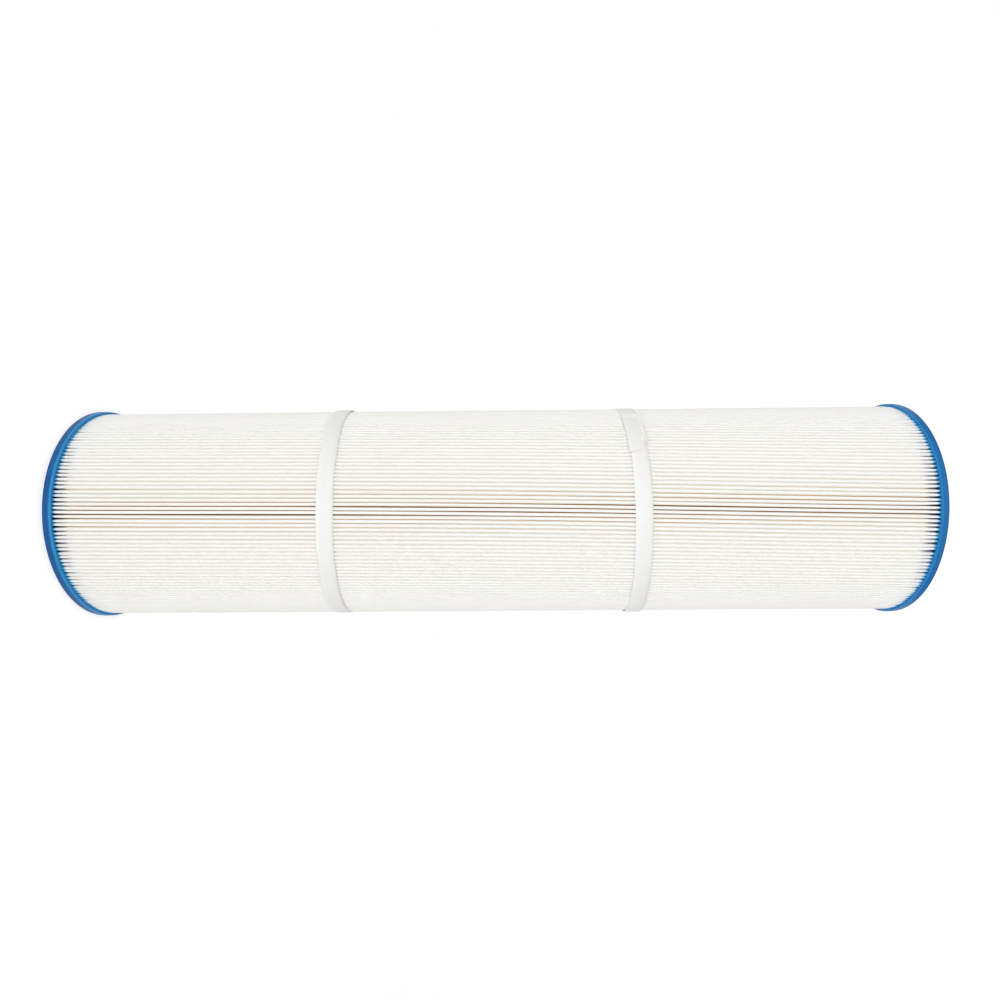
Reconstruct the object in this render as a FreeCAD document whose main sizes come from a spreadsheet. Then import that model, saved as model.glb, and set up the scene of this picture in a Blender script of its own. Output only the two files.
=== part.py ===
"""Pleated filter cartridge: drilled core, pleated fabric, two straps and two cast urethane end caps.

Millimetres, +Z up.  The cartridge stands on its lower end cap: the origin is the centre of that cap's
resting face and the core's axis is +Z.
"""

import FreeCAD
import Part
import math
import os
import Sketcher
from FreeCAD import Placement, Rotation, Vector

Z_AXIS = Vector(0, 0, 1)

# Driving dimensions, in millimetres and degrees.  Each becomes a spreadsheet cell with this alias.
DIMENSIONS = [
    ("overall_length", 674.7),      # resting face to resting face, 26 9/16 in
    ("cap_diameter", 177.8),        # 7 in
    ("cap_height", 6.6),            # axial height of the cap's outer wall
    ("cap_floor", 2.4),             # urethane under the ends of the pleats and the core
    ("cap_corner", 1.5),            # radius of the cap's outer edge
    ("cap_rim_edge", 0.5),          # chamfer on the wall's free edge
    ("potting_height", 5.6),        # level that the urethane reached between the pleats
    ("bore_diameter", 76.2),        # 3 in opening that seals on the filter's manifold
    ("bore_bevel", 1.2),
    ("seal_ring_width", 6.5),       # raised flat ring round the bore
    ("rest_ring_width", 4.4),       # raised flat ring near the cap's edge
    ("field_depth", 0.8),           # recessed field between the two rings
    ("standoff_diameter", 5.0),     # pockets left by the mould's standoff pins
    ("standoff_depth", 0.8),
    ("standoff_circle", 132.0),
    ("standoff_count", 12),
    ("core_outer", 84.0),
    ("core_inner", 78.4),
    ("core_hole", 10.0),
    ("core_hole_pitch", 21.5),      # axial distance between rings of holes
    ("core_hole_rings", 29),
    ("core_hole_columns", 10),      # holes in one ring
    ("pleat_count", 168),
    ("pleat_outer", 173.6),         # diameter over the folded tips
    ("pleat_inner", 84.8),          # diameter inside the folded roots
    ("fabric", 0.5),                # thickness of the spun-bonded polyester
    ("tip_fold", 0.9),              # radius of the tip fold, at the middle of the fabric
    ("root_fold", 0.38),            # radius of the root fold, at the middle of the fabric
    ("seam_gap", 0.2),              # bond line between the two end leaves
    ("seam_inset", 0.6),            # the end leaves stop this far inside the tips
    ("seam_depth", 34.0),           # radial reach of the bond
    ("band_width", 13.2),
    ("band_thickness", 0.5),
    ("band_clearance", 0.45),       # room for the tilt of a strap over the pleat tips
    ("band_bond", 0.12),            # adhesive between the strap's lapped ends
    ("band_lap", 26.0),             # angle over which the strap's two ends overlap
    ("band_ramp", 5.0),             # angle over which the strap climbs on to its own end
    ("lower_band_height", 208.9),
    ("lower_band_lean", -2.35),     # tilt of the strap's plane about the X axis
    ("lower_band_roll", 0.97),      # and about the Y axis
    ("lower_band_lap_start", 151.0),
    ("upper_band_height", 452.3),
    ("upper_band_lean", 0.58),
    ("upper_band_roll", -1.69),
    ("upper_band_lap_start", 209.0),
]


def make_sheet(doc):
    """Writes the driving dimensions into a spreadsheet and returns it."""
    sheet = doc.addObject("Spreadsheet::Sheet", "dimensions")
    for row, (alias, value) in enumerate(DIMENSIONS, start=1):
        sheet.set("A%d" % row, alias)
        sheet.set("B%d" % row, str(value))
        sheet.setAlias("B%d" % row, alias)
    doc.recompute()
    return sheet


def bind(obj, **expressions):
    """Binds properties of an object to expressions of the sheet, where $name stands for a cell."""
    for prop, expression in expressions.items():
        obj.setExpression(prop, expression.replace("$", "dimensions."))


def origin_plane(body, role):
    return next(f for f in body.Origin.OriginFeatures if f.Role == role)


def new_sketch(body, name, role):
    """A sketch attached to one of its own body's origin planes."""
    sketch = body.newObject("Sketcher::SketchObject", name)
    sketch.AttachmentSupport = [(origin_plane(body, role), "")]
    sketch.MapMode = "FlatFace"
    return sketch


# ---------------------------------------------------------------- end caps


def cap_profile(sheet):
    """Half section of a cap casting as (radius, height) corners, from the bore round to the bore."""
    bore = sheet.bore_diameter / 2
    outer = sheet.cap_diameter / 2
    slot_in = sheet.core_inner / 2
    slot_out = sheet.core_outer / 2
    wall_in = sheet.pleat_outer / 2 + sheet.cap_rim_edge
    seal_out = bore + sheet.bore_bevel + sheet.seal_ring_width
    rest_in = outer - sheet.cap_corner - sheet.rest_ring_width
    return [
        ("bevel_end", bore, sheet.bore_bevel),
        ("seal_in", bore + sheet.bore_bevel, 0.0),
        ("seal_out", seal_out, 0.0),
        ("field_in", seal_out + sheet.field_depth, sheet.field_depth),
        ("field_out", rest_in - sheet.field_depth, sheet.field_depth),
        ("rest_in", rest_in, 0.0),
        ("corner", outer, 0.0),
        ("rim_out", outer, sheet.cap_height),
        ("rim_in", wall_in, sheet.cap_height),
        ("wall_foot", wall_in, sheet.potting_height),
        ("potting_in", slot_out, sheet.potting_height),
        ("slot_out_foot", slot_out, sheet.cap_floor),
        ("slot_in_foot", slot_in, sheet.cap_floor),
        ("lip_out", slot_in, sheet.cap_height),
        ("lip_in", bore, sheet.cap_height),
    ]


def make_cap_casting(doc, sheet):
    """The cap without the pleats' own cavity: a revolved section, rounded, with its standoff pockets."""
    body = doc.addObject("PartDesign::Body", "cap_casting")
    section = new_sketch(body, "cap_section", "XZ_Plane")
    corners = [Vector(r, z, 0) for _, r, z in cap_profile(sheet)]
    for i, start in enumerate(corners):
        section.addGeometry(Part.LineSegment(start, corners[(i + 1) % len(corners)]))
    for i in range(len(corners)):
        section.addConstraint(Sketcher.Constraint("Coincident", i, 2, (i + 1) % len(corners), 1))
    casting = body.newObject("PartDesign::Revolution", "cap_revolved")
    casting.Profile = section
    casting.ReferenceAxis = (section, ["V_Axis"])
    casting.Angle = 360
    doc.recompute()

    rounded = body.newObject("PartDesign::Fillet", "cap_outer_corner")
    rounded.Base = (casting, [edge_at(casting.Shape, sheet.cap_diameter / 2, 0.0)])
    bind(rounded, Radius="$cap_corner")
    doc.recompute()
    eased = body.newObject("PartDesign::Chamfer", "cap_rim_easing")
    eased.Base = (rounded, [edge_at(rounded.Shape, sheet.cap_diameter / 2, sheet.cap_height)])
    bind(eased, Size="$cap_rim_edge")
    doc.recompute()

    pin = new_sketch(body, "standoff_outline", "XY_Plane")
    centre = Vector(sheet.standoff_circle / 2, 0, 0)
    pin.addGeometry(Part.Circle(centre, Z_AXIS, sheet.standoff_diameter / 2))
    pin.addConstraint(Sketcher.Constraint("PointOnObject", 0, 3, -1))
    pin.addConstraint(Sketcher.Constraint("DistanceX", -1, 1, 0, 3, sheet.standoff_circle / 2))
    pin.addConstraint(Sketcher.Constraint("Radius", 0, sheet.standoff_diameter / 2))
    pin.setExpression("Constraints[1]", "dimensions.standoff_circle / 2")
    pin.setExpression("Constraints[2]", "dimensions.standoff_diameter / 2")
    pocket = body.newObject("PartDesign::Pocket", "standoff_pocket")
    pocket.Profile = pin
    pocket.Reversed = True
    bind(pocket, Length="$field_depth + $standoff_depth")
    doc.recompute()
    ring = body.newObject("PartDesign::PolarPattern", "standoff_ring")
    ring.Originals = [pocket]
    ring.Axis = (origin_axis(body), [""])
    ring.Angle = 360
    bind(ring, Occurrences="$standoff_count")
    body.Tip = ring
    doc.recompute()
    return body


def origin_axis(body):
    return next(f for f in body.Origin.OriginFeatures if f.Role == "Z_Axis")


def edge_at(shape, radius, height):
    """Name of the full-circle edge of that radius at that height."""
    for i, edge in enumerate(shape.Edges, start=1):
        curve = edge.Curve
        if isinstance(curve, Part.Circle) and abs(curve.Radius - radius) < 0.01:
            if abs(curve.Center.z - height) < 0.01:
                return "Edge%d" % i
    raise ValueError("no circular edge of radius %.2f at height %.2f" % (radius, height))


def make_caps(doc, casting, media):
    """The lower cap is the casting less the cavity that the pleats' ends fill; the upper one mirrors it."""
    lower = doc.addObject("Part::Cut", "bottom_end_cap")
    lower.Base = casting
    lower.Tool = media
    lower.Refine = False
    upper = doc.addObject("Part::Mirroring", "top_end_cap")
    upper.Source = lower
    upper.Normal = Z_AXIS
    upper.setExpression("Base.z", "dimensions.overall_length / 2")
    doc.recompute()
    return [lower, upper]


# ---------------------------------------------------------------- core


def make_core(doc, sheet):
    """Extruded tube with staggered rings of drilled flow holes."""
    body = doc.addObject("PartDesign::Body", "center_core")
    outline = new_sketch(body, "core_outline", "XY_Plane")
    for radius, cell in ((sheet.core_outer / 2, "core_outer"), (sheet.core_inner / 2, "core_inner")):
        circle = outline.addGeometry(Part.Circle(Vector(0, 0, 0), Z_AXIS, radius))
        outline.addConstraint(Sketcher.Constraint("Coincident", circle, 3, -1, 1))
        number = outline.addConstraint(Sketcher.Constraint("Radius", circle, radius))
        outline.setExpression("Constraints[%d]" % number, "dimensions.%s / 2" % cell)
    outline.setExpression("AttachmentOffset.Base.z", "dimensions.cap_floor")
    tube = body.newObject("PartDesign::Pad", "core_tube")
    tube.Profile = outline
    bind(tube, Length="$overall_length - 2 * $cap_floor")
    doc.recompute()

    half_turn_share = 180.0 / sheet.core_hole_columns
    for stagger, name in enumerate(("even", "odd")):
        drilled = new_sketch(body, "%s_hole_column" % name, "XZ_Plane")
        turn = Rotation(Vector(0, 1, 0), stagger * half_turn_share)
        drilled.AttachmentOffset = Placement(Vector(0, 0, 0), turn)
        first = sheet.overall_length / 2 - sheet.core_hole_pitch * (sheet.core_hole_rings - 1) / 2
        for ring in range(stagger, int(sheet.core_hole_rings), 2):
            centre = Vector(0, first + ring * sheet.core_hole_pitch, 0)
            drilled.addGeometry(Part.Circle(centre, Z_AXIS, sheet.core_hole / 2))
        pocket = body.newObject("PartDesign::Pocket", "%s_holes" % name)
        pocket.Profile = drilled
        pocket.Type = "Length"
        pocket.Midplane = True
        bind(pocket, Length="$core_outer + 2 * $core_hole")
        doc.recompute()
        pattern = body.newObject("PartDesign::PolarPattern", "%s_hole_rings" % name)
        pattern.Originals = [pocket]
        pattern.Axis = (origin_axis(body), [""])
        pattern.Angle = 180 - 360 / sheet.core_hole_columns
        pattern.Occurrences = int(sheet.core_hole_columns / 2)
        body.Tip = pattern
        doc.recompute()
    return body


# ---------------------------------------------------------------- pleated fabric


def polar(radius, angle):
    return Vector(radius * math.cos(angle), radius * math.sin(angle), 0)


def fold_touch(centre, radius, other, other_radius, side):
    """Where the straight flank that crosses between two folds touches the first of them."""
    along = other - centre
    distance = along.Length
    along.normalize()
    across = Vector(-along.y, along.x, 0) * side
    sine = (radius + other_radius) / distance
    cosine = math.sqrt(1 - sine * sine)
    return centre + (along * sine + across * cosine) * radius


def folds_of_sheet(sheet):
    """(centre, fold radius at mid fabric, is a tip) of each fold, round the core from one end leaf."""
    count = int(sheet.pleat_count)
    step = 2 * math.pi / count
    tip_circle = sheet.pleat_outer / 2 - sheet.tip_fold - sheet.fabric / 2
    root_circle = sheet.pleat_inner / 2 + sheet.root_fold + sheet.fabric / 2
    folds = []
    for i in range(count):
        folds.append((polar(root_circle, (i + 0.5) * step), sheet.root_fold, False))
        if i < count - 1:
            folds.append((polar(tip_circle, (i + 1) * step), sheet.tip_fold, True))
    beside_leaf = math.asin((leaf_distance(sheet) + sheet.root_fold) / root_circle)
    folds[0] = (polar(root_circle, beside_leaf), sheet.root_fold, False)
    folds[-1] = (polar(root_circle, -beside_leaf), sheet.root_fold, False)
    return folds


def leaf_distance(sheet):
    """Distance from the seam's plane to the middle of either end leaf."""
    return sheet.seam_gap / 2 + sheet.fabric / 2


def sheet_side(sheet, folds, offset):
    """Edges of one face of the folded fabric, at that offset from mid fabric (positive is outwards)."""
    leaf_end = sheet.pleat_outer / 2 - sheet.seam_inset
    leaf = leaf_distance(sheet) + offset
    radii = [radius + (offset if is_tip else -offset) for _, radius, is_tip in folds]
    last = len(folds) - 1
    edges = []
    start = Vector(leaf_end, leaf, 0)
    for i, (centre, _, is_tip) in enumerate(folds):
        turn = 1 if is_tip else -1
        outwards = Vector(centre.x, centre.y, 0).normalize()
        arrive = Vector(centre.x, leaf, 0)
        leave = Vector(centre.x, -leaf, 0)
        if i > 0:
            arrive = fold_touch(centre, radii[i], folds[i - 1][0], radii[i - 1], turn)
        if i < last:
            leave = fold_touch(centre, radii[i], folds[i + 1][0], radii[i + 1], -turn)
        edges.append(Part.LineSegment(start, arrive).toShape())
        edges.append(Part.Arc(arrive, centre + outwards * (turn * radii[i]), leave).toShape())
        start = leave
    edges.append(Part.LineSegment(start, Vector(leaf_end, -leaf, 0)).toShape())
    return edges


def make_media(doc, sheet):
    """One sheet of fabric folded into pleats right round the core, its end leaves back to back at +X."""
    folds = folds_of_sheet(sheet)
    outer = sheet_side(sheet, folds, sheet.fabric / 2)
    inner = sheet_side(sheet, folds, -sheet.fabric / 2)
    ends = [
        Part.LineSegment(outer[0].Vertexes[0].Point, inner[0].Vertexes[0].Point).toShape(),
        Part.LineSegment(outer[-1].Vertexes[1].Point, inner[-1].Vertexes[1].Point).toShape(),
    ]
    outline = Part.Wire(outer + [ends[1]] + inner[::-1] + [ends[0]])
    height = sheet.overall_length - 2 * sheet.cap_floor
    media = doc.addObject("Part::Feature", "pleated_media")
    media.Shape = Part.Face(outline).extrude(Z_AXIS * height)
    media.Placement = Placement(Vector(0, 0, sheet.cap_floor), Rotation())
    return media


def make_seam_bond(doc):
    """Film of hot-melt adhesive between the two end leaves, from cap to cap."""
    bond = doc.addObject("Part::Box", "side_seam_bond")
    bind(
        bond,
        Length="$seam_depth",
        Width="$seam_gap",
        Height="$overall_length - 2 * $potting_height",
    )
    leaf_end = "dimensions.pleat_outer / 2 - dimensions.seam_inset"
    bond.setExpression("Placement.Base.x", leaf_end + " - dimensions.seam_depth")
    bond.setExpression("Placement.Base.y", "-dimensions.seam_gap / 2")
    bond.setExpression("Placement.Base.z", "dimensions.potting_height")
    return bond


# ---------------------------------------------------------------- straps


def arc_between(radius, first, last):
    """Edge along a circle round the origin, from one angle in degrees to another."""
    middle = (first + last) / 2
    points = [polar(radius, math.radians(angle)) for angle in (first, middle, last)]
    return Part.Arc(*points).toShape()


def turn_between(radius, first, last):
    """The same as two edges, for more than half a turn."""
    middle = (first + last) / 2
    return [arc_between(radius, first, middle), arc_between(radius, middle, last)]


def line_between(radius_1, angle_1, radius_2, angle_2):
    return Part.LineSegment(
        polar(radius_1, math.radians(angle_1)),
        polar(radius_2, math.radians(angle_2)),
    ).toShape()


def band_outline(sheet, start):
    """Closed outline of a strap seen end on: one turn, a ramp up on to its own end, and the lap."""
    inner = sheet.pleat_outer / 2 + sheet.band_clearance
    outer = inner + sheet.band_thickness
    lap_inner = outer + sheet.band_bond
    lap_outer = lap_inner + sheet.band_thickness
    ramp = start + 360 - sheet.band_ramp
    over = start + 360
    end = over + sheet.band_lap
    edges = turn_between(inner, start, ramp)
    edges.append(line_between(inner, ramp, lap_inner, over))
    edges.append(arc_between(lap_inner, over, end))
    edges.append(line_between(lap_inner, end, lap_outer, end))
    edges.append(arc_between(lap_outer, end, over))
    edges.append(line_between(lap_outer, over, outer, ramp))
    edges += turn_between(outer, ramp, start)
    edges.append(line_between(outer, start, inner, start))
    return Part.Wire(edges)


def bond_outline(sheet, start):
    """Closed outline of the adhesive between the strap's lapped ends."""
    inner = sheet.pleat_outer / 2 + sheet.band_clearance + sheet.band_thickness
    outer = inner + sheet.band_bond
    end = start + sheet.band_lap
    return Part.Wire([
        arc_between(inner, start, end),
        line_between(inner, end, outer, end),
        arc_between(outer, end, start),
        line_between(outer, start, inner, start),
    ])


def make_band(doc, sheet, name):
    """A strap drawn round the pleat tips and the adhesive that closes its lap, tilted as the strap lies."""
    start = sheet.get(name + "_lap_start")
    lean = Rotation(Vector(1, 0, 0), sheet.get(name + "_lean"))
    roll = Rotation(Vector(0, 1, 0), sheet.get(name + "_roll"))
    place = Placement(Vector(0, 0, sheet.get(name + "_height")), lean * roll)
    down = Placement(Z_AXIS * (-sheet.band_width / 2), Rotation())
    parts = []
    outlines = {name: band_outline(sheet, start), name + "_bond": bond_outline(sheet, start)}
    for label, outline in outlines.items():
        strap = doc.addObject("Part::Feature", label)
        strap.Shape = Part.Face(outline).extrude(Z_AXIS * sheet.band_width)
        strap.Placement = place * down
        parts.append(strap)
    return parts


# ---------------------------------------------------------------- the assembly


def check(doc, parts):
    """Stops if an object failed or a sub-part isn't one or more valid closed solids."""
    for obj in doc.Objects:
        if {"Invalid", "Error"} & set(obj.State):
            raise RuntimeError("%s failed: %s" % (obj.Name, obj.State))
    for part in parts:
        shape = part.Shape
        if shape.isNull() or not shape.isValid() or not shape.Solids:
            raise RuntimeError("%s has no valid solid" % part.Label)
        found = (part.Label, len(shape.Solids), len(shape.Faces), shape.Volume)
        print("%-16s solids %d faces %5d volume %10.1f mm3" % found)


def main():
    doc = FreeCAD.newDocument("filter_cartridge")
    sheet = make_sheet(doc)
    media = make_media(doc, sheet)
    casting = make_cap_casting(doc, sheet)
    parts = make_caps(doc, casting, media)
    parts += [media, make_core(doc, sheet), make_seam_bond(doc)]
    parts += make_band(doc, sheet, "lower_band")
    parts += make_band(doc, sheet, "upper_band")
    doc.recompute()
    check(doc, parts)
    os.makedirs("parts", exist_ok=True)
    for part in parts:
        part.Shape.exportStep("parts/%s.step" % part.Label)


main()
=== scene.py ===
"""Looks of a pleated filter cartridge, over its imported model.

Metres, +Z up, standing on its lower end cap. The photograph shows the cartridge on its side, so the
main camera is turned a quarter turn about its view line.
"""

import math

import bmesh
import bpy
import numpy as np
from mathutils import Matrix, Vector


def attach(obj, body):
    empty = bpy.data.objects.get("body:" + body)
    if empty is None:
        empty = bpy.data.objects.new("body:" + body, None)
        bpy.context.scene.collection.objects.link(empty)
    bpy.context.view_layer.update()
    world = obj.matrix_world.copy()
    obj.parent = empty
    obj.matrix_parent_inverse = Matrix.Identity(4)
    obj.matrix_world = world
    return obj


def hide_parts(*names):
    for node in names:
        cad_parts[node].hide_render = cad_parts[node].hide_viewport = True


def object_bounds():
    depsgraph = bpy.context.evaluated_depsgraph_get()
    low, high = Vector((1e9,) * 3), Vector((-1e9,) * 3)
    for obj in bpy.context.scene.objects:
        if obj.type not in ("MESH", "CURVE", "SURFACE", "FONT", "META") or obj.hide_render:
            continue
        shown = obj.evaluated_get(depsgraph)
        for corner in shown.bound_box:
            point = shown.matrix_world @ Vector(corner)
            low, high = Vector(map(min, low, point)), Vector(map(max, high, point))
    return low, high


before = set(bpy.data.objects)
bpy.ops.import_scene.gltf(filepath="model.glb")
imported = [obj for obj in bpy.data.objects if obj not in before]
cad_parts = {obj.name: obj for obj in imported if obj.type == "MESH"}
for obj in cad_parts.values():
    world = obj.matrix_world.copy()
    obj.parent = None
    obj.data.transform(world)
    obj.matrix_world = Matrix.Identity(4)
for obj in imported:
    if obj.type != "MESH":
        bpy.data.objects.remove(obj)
cad_low, cad_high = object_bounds()

MM = 0.001
LENGTH = cad_high.z / MM

# Sizes in millimetres, as the solids have them.
PLEATS = 168
TIP_RADIUS = 86.8
ROOT_RADIUS = 42.4
CAP_RADIUS = 88.9
CAP_HEIGHT = 6.6
CAP_FLOOR = 2.4
POTTING = 5.6
BORE_RADIUS = 38.1
CORE_INNER = 39.2
CORE_OUTER = 42.0
CLIMB = 0.6  # how far the urethane climbs between the pleats' tips and the cap's wall
FIELD_DEPTH = 0.8  # of the sunk field in a cap's end face
UPPER_SINK = 1.4  # how much lower the upper cap's free edge is than the lower cap's
BAND_WIDTH = 13.2
BAND_THICKNESS = 0.5
PITCH = 2 * math.pi / PLEATS

# How bright the studio is to the cartridge's two sides, and in front and behind.
SIDE_LIGHT = 0.12
FRONT_LIGHT = 1.06


# ---------------------------------------------------------------- helpers


def smooth(x):
    """Smooth step from 0 to 1 as x goes from 0 to 1."""
    x = np.clip(x, 0.0, 1.0)
    return x * x * (3 - 2 * x)


def grid_object(name, points, close_columns=False, close_rows=False):
    """A quad mesh over a grid of points in millimetres, shaped (rows, columns, 3)."""
    rows, columns = points.shape[:2]
    index = np.arange(rows * columns).reshape(rows, columns)
    if close_columns:
        index = np.concatenate([index, index[:, :1]], axis=1)
    if close_rows:
        index = np.concatenate([index, index[:1]], axis=0)
    quads = np.stack([index[:-1, :-1], index[:-1, 1:], index[1:, 1:], index[1:, :-1]], axis=-1)
    mesh = bpy.data.meshes.new(name)
    mesh.from_pydata((points.reshape(-1, 3) * MM).tolist(), [], quads.reshape(-1, 4).tolist())
    mesh.shade_smooth()
    made = bpy.data.objects.new(name, mesh)
    bpy.context.scene.collection.objects.link(made)
    return made


def finish_piece(piece, material, slot, *nodes):
    """Gives a piece its material, and lets it ride on "root" in place of its CAD nodes; slot is not
    used.
    """
    piece.data.materials.append(material)
    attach(piece, "root")
    if nodes:
        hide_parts(*nodes)


class Nodes:
    """A small helper that builds one material's node tree."""

    def __init__(self, name):
        self.material = bpy.data.materials.new(name)
        self.material.use_nodes = True
        self.tree = self.material.node_tree
        self.tree.nodes.clear()
        self.output = self.add("ShaderNodeOutputMaterial")
        self.shader = self.add("ShaderNodeBsdfPrincipled")
        self.link(self.shader.outputs["BSDF"], self.output.inputs["Surface"])
        self.place = self.add("ShaderNodeTexCoord").outputs["Object"]

    def add(self, kind, **settings):
        node = self.tree.nodes.new(kind)
        for key, value in settings.items():
            setattr(node, key, value)
        return node

    def link(self, source, target):
        self.tree.links.new(source, target)

    def stretched(self, scale):
        """Object coordinates multiplied by a vector."""
        node = self.add("ShaderNodeVectorMath", operation="MULTIPLY")
        node.inputs[1].default_value = scale
        self.link(self.place, node.inputs[0])
        return node.outputs["Vector"]

    def noise(self, scale, detail=2.0, vector=None, roughness=0.5, distortion=0.0):
        node = self.add("ShaderNodeTexNoise")
        node.inputs["Scale"].default_value = scale
        node.inputs["Detail"].default_value = detail
        node.inputs["Roughness"].default_value = roughness
        node.inputs["Distortion"].default_value = distortion
        self.link(vector or self.place, node.inputs["Vector"])
        return node.outputs["Fac"]

    def radius(self):
        """Distance from the cartridge's axis, in metres."""
        flat = self.stretched((1, 1, 0))
        node = self.add("ShaderNodeVectorMath", operation="LENGTH")
        self.link(flat, node.inputs[0])
        return node.outputs["Value"]

    def height(self):
        """Height above the lower end face, in metres."""
        node = self.add("ShaderNodeSeparateXYZ")
        self.link(self.place, node.inputs[0])
        return node.outputs["Z"]

    def from_middle(self):
        """Distance along the axis from the cartridge's middle, in metres."""
        return self.math("ABSOLUTE", self.math("SUBTRACT", self.height(), LENGTH * MM / 2))

    def math(self, operation, a, b=None):
        node = self.add("ShaderNodeMath", operation=operation)
        for socket, value in zip(node.inputs, (a, b)):
            if value is None:
                continue
            if isinstance(value, (int, float)):
                socket.default_value = value
            else:
                self.link(value, socket)
        return node.outputs[0]

    def map(self, value, low, high, to_low=0.0, to_high=1.0, kind="SMOOTHSTEP"):
        node = self.add("ShaderNodeMapRange", interpolation_type=kind)
        self.link(value, node.inputs["Value"])
        settings = {"From Min": low, "From Max": high, "To Min": to_low, "To Max": to_high}
        for key, number in settings.items():
            node.inputs[key].default_value = number
        return node.outputs["Result"]

    def ramp(self, value, stops):
        node = self.add("ShaderNodeValToRGB")
        while len(node.color_ramp.elements) < len(stops):
            node.color_ramp.elements.new(0.5)
        for element, (position, colour) in zip(node.color_ramp.elements, stops):
            element.position = position
            element.color = (*colour, 1)
        self.link(value, node.inputs["Fac"])
        return node.outputs["Color"]

    def mix(self, factor, a, b, blend="MIX"):
        node = self.add("ShaderNodeMix", data_type="RGBA", blend_type=blend)
        sockets = (node.inputs[0], node.inputs[6], node.inputs[7])
        for socket, value in zip(sockets, (factor, a, b)):
            if isinstance(value, tuple):
                socket.default_value = (*value, 1)
            elif isinstance(value, (int, float)):
                socket.default_value = value
            else:
                self.link(value, socket)
        return node.outputs[2]

    def bump(self, height, distance, strength=1.0, under=None):
        node = self.add("ShaderNodeBump")
        node.inputs["Distance"].default_value = distance
        node.inputs["Strength"].default_value = strength
        self.link(height, node.inputs["Height"])
        if under:
            self.link(under, node.inputs["Normal"])
        return node.outputs["Normal"]

    def let_light_through(self, share, colour):
        """Mixes in a translucent share, for a thin sheet that glows with the light behind it."""
        through = self.add("ShaderNodeBsdfTranslucent")
        self.link(colour, through.inputs["Color"])
        mixed = self.add("ShaderNodeMixShader")
        mixed.inputs[0].default_value = share
        self.link(self.shader.outputs["BSDF"], mixed.inputs[1])
        self.link(through.outputs["BSDF"], mixed.inputs[2])
        self.link(mixed.outputs["Shader"], self.output.inputs["Surface"])

    def set(self, **values):
        """Sets shader sockets: a number or colour on the socket itself, anything else by a link."""
        for key, value in values.items():
            socket = self.shader.inputs[key.replace("_", " ")]
            if isinstance(value, tuple) and len(value) == 3 and socket.type == "RGBA":
                socket.default_value = (*value, 1)
            elif isinstance(value, (int, float, tuple)):
                socket.default_value = value
            else:
                self.link(value, socket)


# ---------------------------------------------------------------- materials

# Heights in metres between which a material goes over from its lower cap's look to its upper cap's.
LOWER_PART, UPPER_PART = 0.1, 0.5


def fibre_bump(n, fine, coarse, along=1.0):
    """Bump of a spun-bonded fabric: fibres a fraction of a millimetre wide over soft lumps.

    fine and coarse are the heights of the two in metres; along under 1 draws both out along the axis.
    """
    strands = n.noise(1.0, 3.0, n.stretched((2600, 2600, 700 * along)), 0.6, 0.8)
    lumps = n.noise(1.0, 1.0, n.stretched((160, 160, 40 * along)))
    under = n.bump(lumps, coarse, 0.5)
    return n.bump(strands, fine, 0.5, under)


def pleat_fabric():
    """Spun-bonded polyester: white tips, painted shade turning darker and browner down the slots, a
    painted glow, blue where urethane wicked in.
    """
    n = Nodes("pleat_fabric")
    mottled = n.ramp(
        n.noise(1.0, 3.0, n.stretched((900, 900, 40)), 0.6),
        [(0.3, (0.936, 0.940, 0.928)), (0.7, (0.946, 0.950, 0.937))],
    )
    # 1 at the pleats' tips and 0 as deep in the slots as can be seen
    deepest = 0.0660
    depth = n.map(n.radius(), deepest, TIP_RADIUS * MM, kind="LINEAR")
    # painted shade: the colour turns darker and browner the deeper the fabric lies in the slots,
    # standing in for the dim warm light there
    painted_slot_shade = n.ramp(
        depth,
        [
            (0.20, (0.38, 0.17, 0.04)),
            (0.58, (0.58, 0.29, 0.09)),
            (0.69, (0.80, 0.55, 0.30)),
            (0.77, (0.95, 0.86, 0.71)),
            (0.85, (0.99, 0.975, 0.94)),
            (0.90, (1.0, 1.0, 1.0)),
        ],
    )
    # stands in for light that soaks through the thin fabric into the slots, warmer the deeper it goes
    soaked = n.ramp(
        depth,
        [
            (0.10, (0.05, 0.022, 0.003)),
            (0.40, (0.12, 0.056, 0.009)),
            (0.62, (0.20, 0.115, 0.035)),
            (0.72, (0.26, 0.200, 0.130)),
            (0.80, (0.27, 0.250, 0.215)),
            (0.88, (0.22, 0.217, 0.203)),
            (0.93, (0.04, 0.04, 0.038)),
            (0.97, (0.0, 0.0, 0.0)),
        ],
    )
    fabric = n.mix(1.0, mottled, painted_slot_shade, "MULTIPLY")
    wobble = n.math("MULTIPLY", n.noise(420.0, 2.0), 0.0022)
    # the upper cap's wall is a little lower, so its stain starts nearer the end
    sink = n.map(n.height(), LOWER_PART, UPPER_PART, 0.0, UPPER_SINK * MM)
    reach = n.math("SUBTRACT", n.math("ADD", n.from_middle(), wobble), sink)
    edge = (LENGTH / 2 - CAP_HEIGHT) * MM
    # dark urethane wicks far up inside the slots, where painted shade darkens it further next to the
    # cap, and stains the tips pale blue only next to the cap
    in_slot = n.map(n.radius(), 0.0856, 0.0842)
    wicked_urethane_and_shade = n.math("MULTIPLY", n.map(reach, edge - 0.0095, edge - 0.002), in_slot)
    stain_and_blue_glow = n.map(reach, edge - 0.0014, edge + 0.0008)
    fabric = n.mix(stain_and_blue_glow, fabric, (0.14, 0.56, 0.90))
    fabric = n.mix(wicked_urethane_and_shade, fabric, (0.010, 0.045, 0.12))
    weave = fibre_bump(n, 0.000008, 0.00002, 0.2)
    n.set(Base_Color=fabric, Roughness=0.9, Specular_IOR_Level=0.25, Normal=weave)
    # painted glow: the slots give out the soaked-through light, and the real pale blue stain next to
    # the cap a faint blue glow on top
    n.set(Emission_Color=n.mix(stain_and_blue_glow, soaked, (0.0, 0.02, 0.05)), Emission_Strength=0.6)
    n.let_light_through(0.15, fabric)
    return n.material


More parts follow.
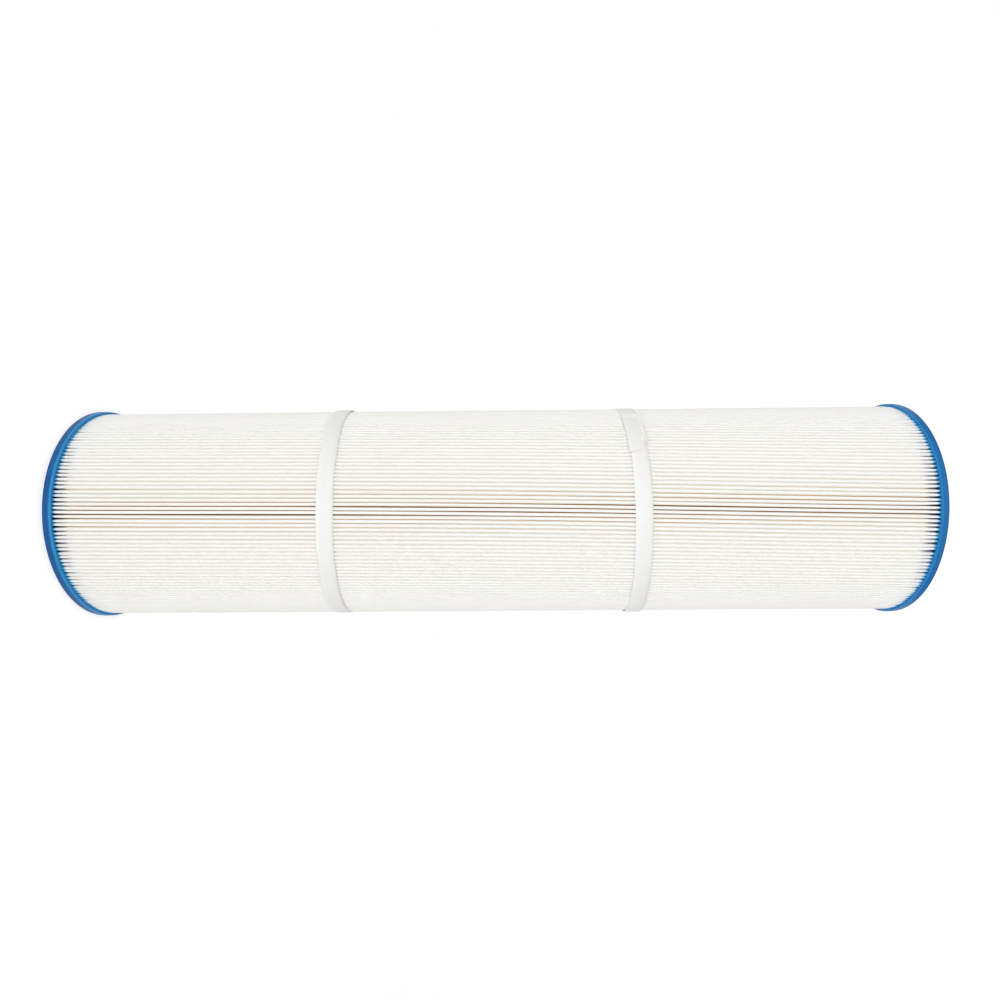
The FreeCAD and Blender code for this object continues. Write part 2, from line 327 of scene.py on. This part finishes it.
def strap_fabric():
    """Whiter, smoother spun-bonded tape."""
    n = Nodes("strap_fabric")
    tape = n.ramp(
        n.noise(1.0, 3.0, n.stretched((700, 700, 1500)), 0.6),
        [(0.3, (0.775, 0.78, 0.76)), (0.7, (0.815, 0.82, 0.80))],
    )
    weave = fibre_bump(n, 0.00004, 0.00012)
    n.set(Base_Color=tape, Roughness=0.8, Specular_IOR_Level=0.3, Normal=weave)
    return n.material


def urethane():
    """Blue cast polyurethane: satin and cloudy, with a painted highlight towards the wall's free edge
    and painted shade inside the wall and at the end face's outer corner.
    """
    n = Nodes("cast_urethane")
    from_end = n.math("SUBTRACT", LENGTH * MM / 2, n.from_middle())
    cloud = n.ramp(
        n.noise(90.0, 4.0, roughness=0.6),
        [(0.3, (0.010, 0.078, 0.250)), (0.7, (0.014, 0.106, 0.310))],
    )
    # the two castings differ a little in shade
    cloud = n.mix(n.map(n.height(), LOWER_PART, UPPER_PART), cloud, (0.013, 0.134, 0.370))
    speckle = n.noise(2300.0, 1.0)
    cloud = n.mix(n.map(speckle, 0.62, 0.75, 0.0, 0.25), cloud, (0.03, 0.18, 0.45))
    # painted highlight: paler towards the wall's free edge, where light catches its rounded rim
    cloud = n.mix(n.map(from_end, 0.0040, 0.0060), cloud, (0.032, 0.27, 0.58))
    # painted shade: the outer corner of the end face, and the urethane inside the wall, are darker
    rim = n.map(n.radius(), 0.0875, 0.0888)
    corner = n.math("MULTIPLY", rim, n.map(from_end, 0.0016, 0.0))
    cloud = n.mix(corner, cloud, (0.004, 0.060, 0.18))
    # painted shade on the urethane between the wall and the pleats' ends
    within = n.map(n.radius(), 0.0866, 0.0858)
    painted_potting_shade = n.math("MULTIPLY", within, n.map(from_end, 0.0045, 0.0052))
    cloud = n.mix(painted_potting_shade, cloud, (0.008, 0.045, 0.14))
    flow = n.bump(n.noise(55.0, 2.0), 0.0004, 0.5)
    skin = n.bump(speckle, 0.00004, 0.5, flow)
    satin = n.map(n.noise(240.0, 3.0), 0.3, 0.7, 0.32, 0.46, "LINEAR")
    n.set(Base_Color=cloud, Roughness=satin, Specular_IOR_Level=0.2, Normal=skin)
    n.set(Specular_Tint=(0.62, 0.82, 1.0))
    n.set(Subsurface_Weight=0.1, Subsurface_Radius=(0.1, 0.4, 1.0), Subsurface_Scale=0.002)
    return n.material


def core_plastic():
    """Extruded white tube with faint die lines along it and a few scuffs."""
    n = Nodes("core_plastic")
    lines = n.noise(1.0, 2.0, n.stretched((1500, 1500, 6)))
    tone = n.ramp(lines, [(0.35, (0.74, 0.74, 0.72)), (0.65, (0.83, 0.83, 0.81))])
    scuffs = n.noise(1.0, 4.0, n.stretched((120, 120, 30)), 0.7)
    tone = n.mix(n.map(scuffs, 0.58, 0.75, 0.0, 0.35), tone, (0.62, 0.62, 0.60))
    rough = n.map(scuffs, 0.3, 0.8, 0.34, 0.62, "LINEAR")
    n.set(Base_Color=tone, Roughness=rough, Specular_IOR_Level=0.5, Normal=n.bump(lines, 0.00005, 0.6))
    return n.material


def hot_melt():
    """Cream hot-melt adhesive with a soft, beaded surface."""
    n = Nodes("hot_melt")
    beads = n.noise(450.0, 2.0)
    tone = n.ramp(beads, [(0.3, (0.78, 0.77, 0.72)), (0.7, (0.86, 0.855, 0.82))])
    n.set(Base_Color=tone, Roughness=0.45, Specular_IOR_Level=0.5, Normal=n.bump(beads, 0.0002, 0.5))
    return n.material


def floor_paint():
    """White paint that gives out as much light as brings it up to the white behind the cartridge."""
    n = Nodes("floor_paint")
    tone = n.ramp(n.noise(3.0, 2.0), [(0.3, (0.58, 0.58, 0.58)), (0.7, (0.60, 0.60, 0.60))])
    n.set(Base_Color=tone, Roughness=0.9, Specular_IOR_Level=0.1)
    n.set(Emission_Color=(1.0, 1.0, 1.0), Emission_Strength=0.63)
    return n.material


# ---------------------------------------------------------------- the pleats' lie

draw = np.random.default_rng(4207)

# How the pack is twisted, in degrees: a polynomial in the height, which runs from -1 to 1.
TWIST = (-1.72, 3.96, 2.35, 0.0, -1.08)

# Slots that gape a little: number of the tip before the slot, then the gape's middle height, its
# reach either way and its opening, in mm.
GAPING = [
    (128, 160.0, 105.0, 0.50),
    (126, 262.0, 65.0, 0.35),
    (127, 350.0, 50.0, 0.22),
    (125, 475.0, 105.0, 0.38),
]


def twist(z):
    """Turn of the pack at height z, in radians."""
    u = 2 * z / LENGTH - 1
    return np.radians(np.polynomial.polynomial.polyval(u, TWIST))


def drift(z, count, spread, waves=(310.0, 520.0, 900.0)):
    """A slow random wander along z for each of count pleats, shaped (len(z), count), with that RMS."""
    total = np.zeros((len(z), count))
    for wave in waves:
        phase = draw.uniform(0, 2 * math.pi, count)
        size = draw.normal(0, 1, count)
        total += np.sin(2 * math.pi * z[:, None] / wave + phase) * size
    return total * spread * math.sqrt(2 / len(waves))


def stations():
    """Heights at which the pleats are drawn: close together where they pinch in to the potting."""
    near = np.array([0.0, 1.2, 2.6, 4.4, 6.8, 10.0, 14.5, 21.0, 31.0, 48.0])
    low = POTTING + near
    middle = np.linspace(low[-1], LENGTH - low[-1], 18)[1:-1]
    # two more at each end are out of sight in the potting
    sunk = 0.6
    below = [CAP_FLOOR, POTTING - sunk]
    above = [LENGTH - POTTING + sunk, LENGTH - CAP_FLOOR]
    return np.concatenate([below, low, middle, LENGTH - low[::-1], above])


def make_media(material):
    """The one folded sheet: two end leaves, 167 tips between them, and a root beside each tip."""
    z = stations()
    tips = np.arange(1, PLEATS)
    from_low = np.clip(z - POTTING, 0, None)[:, None]
    from_high = np.clip(LENGTH - POTTING - z, 0, None)[:, None]
    from_cap = np.minimum(from_low, from_high)

    # sideways shift of each tip, in mm: its own, a slow wander, and more where it was set in the
    # potting; round one side of the upper cap the pleats were set least evenly
    grip = 14
    set_shift = 0.22
    bunched_at, bunched_over = math.radians(320), math.radians(28)
    shift = draw.normal(0, 0.06, PLEATS - 1) + drift(z, PLEATS - 1, 0.03)
    shift += draw.normal(0, set_shift, PLEATS - 1) * np.exp(-from_low / grip)
    bunch = set_shift + 0.30 * np.exp(-(((tips * PITCH - bunched_at) / bunched_over) ** 2))
    shift += draw.normal(0, 1, PLEATS - 1) * bunch * np.exp(-from_high / grip)
    for tip, centre, reach, opening in GAPING:
        gape = opening * np.exp(-(((z - centre) / reach) ** 2))
        shift[:, tip - 1] -= gape / 2
        shift[:, tip] += gape / 2
    # how far each tip stays inside the pack's full radius
    inset = np.abs(draw.normal(0, 0.09, PLEATS - 1))
    inset = inset + 0.05 * np.abs(drift(z, PLEATS - 1, 1.0))

    # a tip's fold radius: full in the middle of the cartridge, pinched at the potting
    usual = 1.07
    full = draw.normal(usual, 0.035, PLEATS - 1) + drift(z, PLEATS - 1, 0.012)
    full = np.clip(full, 0.98, 1.2)
    pinched = draw.normal(0.70, 0.08, PLEATS - 1)
    swell = 5.0
    fold = pinched + (full - pinched) * (1 - np.exp(-from_cap / swell))

    turn = twist(z)[:, None]
    tip_circle = TIP_RADIUS - fold - inset
    tip_angle = tips * PITCH + turn + shift / TIP_RADIUS
    root_angle = (np.arange(PLEATS) + 0.5) * PITCH + turn + drift(z, PLEATS, 0.03) / ROOT_RADIUS
    root_fold, root_clearance = 0.30, 0.45
    root_circle = ROOT_RADIUS + root_fold + root_clearance

    def fold_points(circle, angle, radius, bends, sign):
        """Points round a fold, (stations, folds, bends, 3): sign is 1 for a tip, -1 for a root."""
        circle, angle, radius = np.broadcast_arrays(circle, angle, radius)
        out = radius[..., None] * np.cos(bends) * sign
        side = radius[..., None] * np.sin(bends)
        cos, sin = np.cos(angle)[..., None], np.sin(angle)[..., None]
        x = (circle[..., None] + out) * cos - side * sin
        y = (circle[..., None] + out) * sin + side * cos
        height = np.broadcast_to(z[:, None, None], x.shape)
        return np.stack([x, y, height], axis=-1)

    tip_bends = np.radians([-82, -54, -27, 0, 27, 54, 82])
    root_bends = np.radians([-40, 40])
    tip = fold_points(tip_circle, tip_angle, fold, tip_bends, 1)
    root = fold_points(root_circle, root_angle, root_fold, root_bends, -1)

    def belly(side, circle, gap):
        """Points where a flank swells towards the next pleat and leaves only a gap between the two."""
        near = tip_angle + side * (circle * PITCH - gap) / 2 / circle
        height = np.broadcast_to(z[:, None], near.shape)
        return np.stack([circle * np.cos(near), circle * np.sin(near), height], -1)

    def flank(side):
        """The three bellies of one flank from the root up: nearly shut, then wider towards the tips."""
        gap = 0.56 + 0.5 * (usual - full)
        return [belly(side, 70.0, 0.08), belly(side, 80.0, gap), belly(side, 83.2, gap + 0.22)]

    down = np.stack(flank(-1), axis=2)
    up = np.stack(flank(1)[::-1], axis=2)

    # one leaf at each end of the strip, back to back at the seam
    leaf_angle = turn[:, 0]
    out = np.stack([np.cos(leaf_angle), np.sin(leaf_angle), 0 * z], axis=-1)
    across = np.stack([-np.sin(leaf_angle), np.cos(leaf_angle), 0 * z], axis=-1)
    rise = np.stack([0 * z, 0 * z, z], axis=-1)

    def leaf(side):
        """Points down one end leaf, from its free edge; half is their distance from the seam."""
        reach = np.array([TIP_RADIUS - 0.6, 72.0, 58.0, 46.0])
        half = np.array([0.58, 0.56, 0.58, 0.62])
        aside = across[:, None] * (side * half)[:, None]
        return rise[:, None] + out[:, None] * reach[:, None] + aside

    columns = [leaf(1), root[:, 0]]
    for i in range(PLEATS - 1):
        columns += [down[:, i], tip[:, i], up[:, i], root[:, i + 1]]
    columns.append(leaf(-1)[:, ::-1])
    points = np.concatenate(columns, axis=1)
    media = grid_object("pleated_sheet", points)
    finish_piece(media, material, "filter_fabric", "pleated_media")


def make_seam(material):
    """The adhesive film between the end leaves, twisted as they are, with an uneven outer edge."""
    depth, half = 33, 0.1
    z = np.linspace(POTTING, LENGTH - POTTING, 60)
    outer = TIP_RADIUS - 0.9 + 0.25 * np.sin(z / 9.0) * np.sin(z / 31.0)
    reach = np.stack([outer - depth, outer, outer, outer - depth], axis=1)
    side = np.broadcast_to([half, half, -half, -half], reach.shape)
    turn = twist(z)[:, None]
    x = reach * np.cos(turn) - side * np.sin(turn)
    y = reach * np.sin(turn) + side * np.cos(turn)
    height = np.broadcast_to(z[:, None], x.shape)
    seam = grid_object("seam_film", np.stack([x, y, height], axis=-1), close_columns=True)
    finish_piece(seam, material, "hot_melt", "side_seam_bond")


# ---------------------------------------------------------------- straps


def make_strap(material, name, centre, lean, roll, lap_start, lift_at, lift):
    """A tape drawn round the pleat tips: one turn, a ramp up on to its own end, and the lap.

    centre is its height at the axis, in mm; lean and roll tilt it, and lap_start and lift_at are places
    round it, in degrees; it stands off the tips by lift, in mm, at lift_at.
    """
    lap, ramp, aside_over = math.radians(26), math.radians(3), math.radians(40)
    begin = math.radians(lap_start)
    one_turn = begin + 2 * math.pi
    angle = np.linspace(begin, one_turn + lap, 640)
    over = smooth((angle - (one_turn - ramp)) / ramp)
    clearance, bond = 0.06, 0.12
    snug = TIP_RADIUS + clearance + (BAND_THICKNESS + bond) * over
    # between two tips the tape is slightly flatter, and at one place it stands off
    ripple = 0.05 * np.cos((angle - twist(centre)) * PLEATS)
    from_lift = np.angle(np.exp(1j * (angle - math.radians(lift_at))))
    stand_off = lift * np.exp(-((from_lift / 0.16) ** 2))
    inner = snug + ripple + stand_off
    # the section: flat, with its edges drawn in and thinned
    across = np.array([-1.0, -0.95, -0.5, 0.0, 0.5, 0.95, 1.0]) * BAND_WIDTH / 2
    crown = np.array([-0.10, -0.03, 0.0, 0.02, 0.0, -0.03, -0.10])
    thickness = BAND_THICKNESS * np.array([0.15, 0.7, 1.0, 1.0, 1.0, 0.7, 0.15])
    # edges wander a little, the lap lies a little to one side, and the outer end is cut at a slant
    wander = 0.18 * np.sin(angle * 3.0 + 1.0) + 0.10 * np.sin(angle * 11.0)
    wander -= 1.1 * smooth((angle - (one_turn - aside_over)) / aside_over)
    slant = smooth((angle - (one_turn + lap * 0.8)) / (lap * 0.2)) * math.radians(2.0)

    def sheet(offset):
        """Points of one face of the tape, offset outwards from its inner face."""
        a = angle[:, None] - slant[:, None] * (across / BAND_WIDTH + 0.5)
        r = inner[:, None] + crown * 0.5 + offset
        x, y = r * np.cos(a), r * np.sin(a)
        z = np.broadcast_to(across, x.shape) + wander[:, None]
        tilt = math.tan(math.radians(lean)) * y - math.tan(math.radians(roll)) * x
        return np.stack([x, y, z + tilt + centre], axis=-1)

    points = np.concatenate([sheet(0.0), sheet(thickness)[:, ::-1]], axis=1)
    strap = grid_object(name + "_tape", points, close_columns=True)
    cap_faces(strap, points.shape[0], points.shape[1])
    finish_piece(strap, material, "strap", name)


def cap_faces(piece, rows, columns):
    """Closes the two ends of a tube made by grid_object."""
    mesh = bmesh.new()
    mesh.from_mesh(piece.data)
    mesh.verts.ensure_lookup_table()
    half = columns // 2
    for row in (0, rows - 1):
        ring = [mesh.verts[row * columns + i] for i in range(columns)]
        for i in range(half - 1):
            far = columns - 1 - i
            mesh.faces.new([ring[i], ring[i + 1], ring[far - 1], ring[far]])
    bmesh.ops.recalc_face_normals(mesh, faces=mesh.faces)
    mesh.to_mesh(piece.data)
    mesh.free()
    piece.data.shade_smooth()


# ---------------------------------------------------------------- end caps


def cap_section():
    """Half section of a cap as (radius, height) points, from the bore round to the core's slot."""
    bevel, seal_width = 1.2, 6.5
    wall, rest_width = 1.5, 4.4
    edge = 0.3  # rounding of the two rings' edges
    slope = 1.4
    corner = 0.8
    core_slot = POTTING - 1.2

    def arc(centre_r, centre_z, radius, first, last, steps):
        bends = np.radians(np.linspace(first, last, steps))
        return [(centre_r + radius * math.cos(b), centre_z + radius * math.sin(b)) for b in bends]

    seal_out = BORE_RADIUS + bevel + seal_width
    rest_in = CAP_RADIUS - wall - rest_width
    field = [(r, FIELD_DEPTH) for r in np.linspace(seal_out + slope, rest_in - slope, 44)]
    potting = [(r, POTTING + CLIMB) for r in (86.9, 86.4, 85.6)] + [(84.4, POTTING + 0.3)]
    inward = (82.5, 79.0, 70.0, 56.0, 46.0, CORE_OUTER + 0.3, CORE_OUTER)
    potting += [(r, POTTING) for r in inward]
    return (
        [(BORE_RADIUS, CAP_HEIGHT - 0.4), (BORE_RADIUS, 3.6)]
        + arc(BORE_RADIUS + bevel, bevel, bevel, 180, 270, 6)
        # the ring round the bore, the sunk field and the ring that the cap stands on
        + [(seal_out - 3.0, 0.0)]
        + arc(seal_out, edge, edge, 270, 315, 3)
        + arc(seal_out + 1.0, 0.5, edge, 135, 90, 3)
        + field
        + arc(rest_in - 1.0, 0.5, edge, 90, 45, 3)
        + arc(rest_in, edge, edge, 225, 270, 3)
        + [(rest_in + 2.4, 0.0)]
        # the wall's outside, its free edge and its inside
        + arc(CAP_RADIUS - corner, corner, corner, 270, 360, 6)
        + [(CAP_RADIUS, 3.0), (CAP_RADIUS - 0.03, 4.6)]
        + arc(CAP_RADIUS - 1.05, CAP_HEIGHT - 1.0, 1.0, 0, 90, 7)
        + arc(87.7, CAP_HEIGHT - 0.4, 0.4, 90, 180, 4)
        + [(87.2, POTTING + 0.75)]
        + potting
        + [(CORE_OUTER - 0.05, core_slot), (CORE_INNER + 0.05, core_slot)]
        + [(CORE_INNER, CAP_HEIGHT - 0.3), (CORE_INNER - 0.3, CAP_HEIGHT)]
        + [(BORE_RADIUS + 0.3, CAP_HEIGHT)]
    )


def make_cap(material, name, node, upper):
    """The cap's section turned round the axis, with the urethane's uneven surfaces and its pockets."""
    section = np.array(cap_section())
    turns = PLEATS * 4
    angle = np.arange(turns) * 2 * math.pi / turns
    radius = np.broadcast_to(section[:, 0], (turns, len(section))).copy()
    height = np.broadcast_to(section[:, 1], (turns, len(section))).copy()

    # the urethane climbs unevenly where the pleats enter, and the wall's free edge isn't quite level
    around = angle[:, None]
    waves = (3, 5, 8, 13, 21, 34)
    uneven = sum(draw.normal(0, 1) * np.sin(k * around + draw.uniform(0, 6.28)) for k in waves)
    level = (section[:, 1] > POTTING - 0.3) & (section[:, 0] > 80)
    height += np.where(level, uneven * 0.05, 0)
    potted = LENGTH - POTTING if upper else POTTING
    teeth = 0.22 * np.abs(np.sin((around - twist(potted)) * PLEATS / 2))
    at_wall = (section[:, 0] < 87.1) & (section[:, 0] > 84)
    surface = (np.abs(section[:, 1] - POTTING - CLIMB) < 0.06) & at_wall
    height += np.where(surface, teeth + 0.05 * draw.normal(0, 1, (turns, 1)), 0)
    outside = section[:, 0] > 88.2
    radius += np.where(outside, 0.05 * np.sin(2 * around + 0.7) - 0.05, 0)

    # pockets that the mould's standoff pins left
    count, circle, pin, soft_edge, pocket_depth = 12, 66.0, 2.5, 0.8, 0.8
    in_field = np.abs(section[:, 1] - FIELD_DEPTH) < 0.01
    for k in range(count):
        a = 2 * math.pi * k / count
        away_x = radius * np.cos(around) - circle * math.cos(a)
        away_y = radius * np.sin(around) - circle * math.sin(a)
        away = np.hypot(away_x, away_y)
        pocket = (1 - smooth((away - pin + soft_edge / 2) / soft_edge)) * pocket_depth
        height += np.where(in_field, pocket, 0)

    if upper:
        # only the outer part's free side moves, by more the farther it is from the cap's floor
        height -= UPPER_SINK * smooth((height - CAP_FLOOR) / 3.0) * (radius > 70)
    z = LENGTH - height if upper else height
    points = np.stack([radius * np.cos(around), radius * np.sin(around), z], axis=-1)
    if upper:
        points = points[::-1]
    cap = grid_object(name, points, close_columns=True, close_rows=True)
    finish_piece(cap, material, "urethane_cap", node)


# ---------------------------------------------------------------- the object

fabric = pleat_fabric()
tape = strap_fabric()
blue = urethane()
adhesive = hot_melt()

make_media(fabric)
make_seam(adhesive)
make_strap(tape, "lower_band", 208.9, -2.35, 0.97, 151.0, 186.0, 0.9)
make_strap(tape, "upper_band", 452.3, 0.58, -1.69, 215.0, 352.0, 0.7)
make_cap(blue, "lower_cap_casting", "bottom_end_cap", False)
make_cap(blue, "upper_cap_casting", "top_end_cap", True)

for node, material in (
    ("center_core", core_plastic()),
    ("lower_band_bond", adhesive),
    ("upper_band_bond", adhesive),
):
    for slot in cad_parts[node].material_slots:
        slot.material = material


# ---------------------------------------------------------------- stage, light and camera


def make_floor():
    bpy.ops.mesh.primitive_plane_add(size=80, location=(0, 0, cad_low.z))
    floor = bpy.context.object
    floor.name = "floor"
    floor.data.materials.append(floor_paint())


def make_light(name, place, target, width, height, watts):
    lamp = bpy.data.lights.new(name, "AREA")
    lamp.shape = "RECTANGLE"
    lamp.size = width
    lamp.size_y = height
    lamp.energy = watts
    made = bpy.data.objects.new(name, lamp)
    made.location = place
    made.rotation_euler = (Vector(target) - Vector(place)).to_track_quat("-Z", "Y").to_euler()
    bpy.context.scene.collection.objects.link(made)


def make_world():
    """A white studio that lights the cartridge much less from its two sides than from front and back.

    The camera itself sees white all round.
    """
    world = bpy.data.worlds.new("studio")
    world.use_nodes = True
    tree = world.node_tree
    place = tree.nodes.new("ShaderNodeTexCoord")
    split = tree.nodes.new("ShaderNodeSeparateXYZ")
    depth = tree.nodes.new("ShaderNodeMath")
    depth.operation = "ABSOLUTE"
    light = tree.nodes.new("ShaderNodeMapRange")
    light.interpolation_type = "SMOOTHSTEP"
    light.inputs["From Max"].default_value = 0.8
    light.inputs["To Min"].default_value = SIDE_LIGHT
    light.inputs["To Max"].default_value = FRONT_LIGHT
    tree.links.new(place.outputs["Generated"], split.inputs[0])
    tree.links.new(split.outputs["Y"], depth.inputs[0])
    tree.links.new(depth.outputs[0], light.inputs["Value"])
    seen = tree.nodes.new("ShaderNodeLightPath").outputs["Is Camera Ray"]
    strength = tree.nodes.new("ShaderNodeMath")
    strength.operation = "MAXIMUM"
    tree.links.new(light.outputs["Result"], strength.inputs[0])
    tree.links.new(seen, strength.inputs[1])
    background = tree.nodes["Background"]
    background.inputs["Color"].default_value = (1, 1, 1, 1)
    tree.links.new(strength.outputs[0], background.inputs["Strength"])
    bpy.context.scene.world = world


def make_camera():
    """Looks along +Y at the cartridge's middle, turned so that +Z is to the right."""
    place = Vector((11.6, -584.1, 352.3)) * MM
    dip, roll = math.radians(0.935), math.radians(0.433)
    ahead = Vector((0, math.cos(dip), -math.sin(dip)))
    level_right = Vector((0, math.sin(dip), math.cos(dip)))
    level_up = Vector((-1, 0, 0))
    right = level_right * math.cos(roll) - level_up * math.sin(roll)
    up = level_up * math.cos(roll) + level_right * math.sin(roll)
    lens = bpy.data.cameras.new("camera")
    lens.sensor_width = 36
    lens.lens = 24.03
    lens.shift_y = 0.0242
    camera = bpy.data.objects.new("camera", lens)
    turn = Matrix((right, up, -ahead)).transposed().to_4x4()
    camera.matrix_world = Matrix.Translation(place) @ turn
    bpy.context.scene.collection.objects.link(camera)
    bpy.context.scene.camera = camera


make_floor()
make_world()
SOFTBOX_WATTS, STRIP_WATTS = 8.0, 2.8
LAMP_HEIGHT = 0.34
middle = (0, 0, LENGTH * MM / 2)
make_light("front_softbox", (0, -1.7, LAMP_HEIGHT), middle, 1.2, 1.2, SOFTBOX_WATTS)
for side in (-1, 1):
    make_light("side_strip", (side * 1.5, 0.87, LAMP_HEIGHT), middle, 0.3, 1.4, STRIP_WATTS)
make_camera()
bpy.context.scene.view_settings.view_transform = "Standard"
